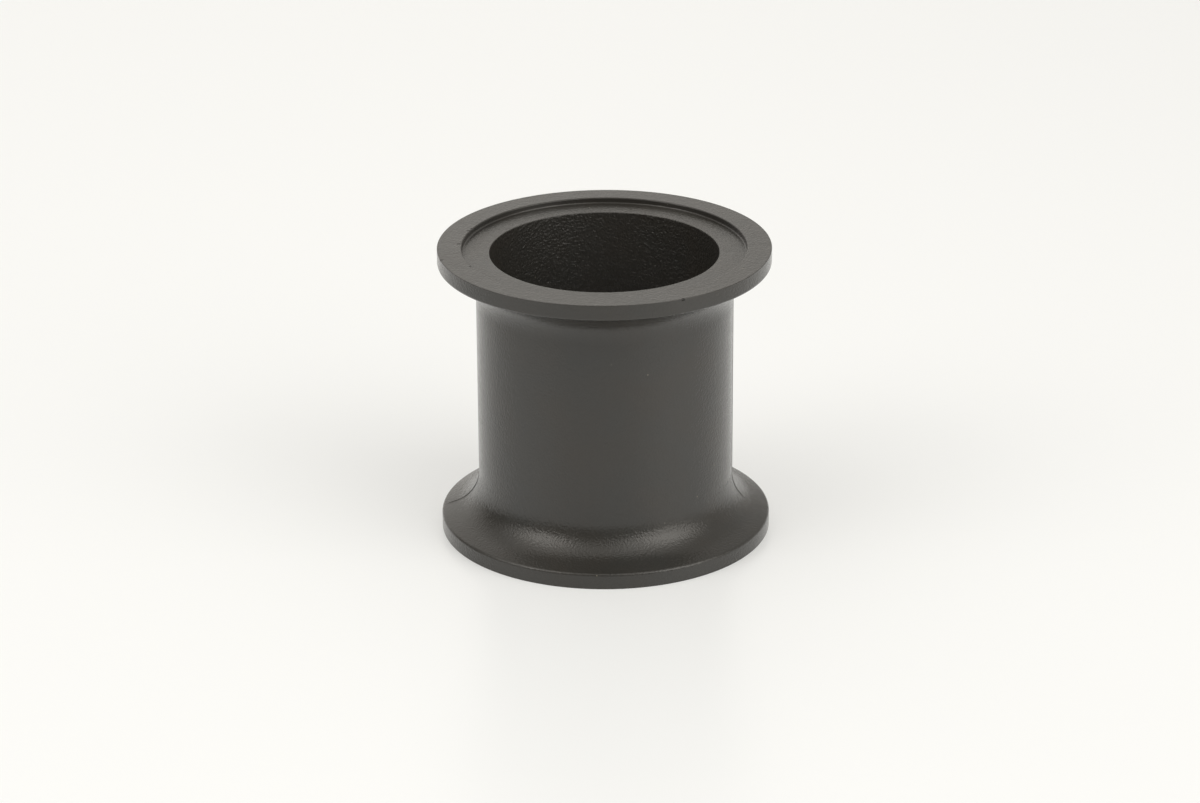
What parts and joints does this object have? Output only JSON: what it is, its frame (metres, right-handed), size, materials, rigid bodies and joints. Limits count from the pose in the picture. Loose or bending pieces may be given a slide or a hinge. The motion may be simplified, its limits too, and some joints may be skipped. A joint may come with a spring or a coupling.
{
  "type": "flanged pipe coupling",
  "caption": "Short straight pipe coupling with a clamp flange at each end, each flange with a sunk gasket seat around a plain through bore.",
  "frame": {"origin": "centre of the lower sealing face, on the axis of the bore", "axes": "+Z along the bore, up through the coupling; the mould's parting line lies in the XZ plane"},
  "size_m": [0.1112, 0.111, 0.0997],
  "materials": {
    "moulded_polypropylene": "black glass-filled polypropylene, as moulded, satin"
  },
  "bodies": {
    "root": {"spool_body": "moulded_polypropylene"}
  },
  "joints": []
}
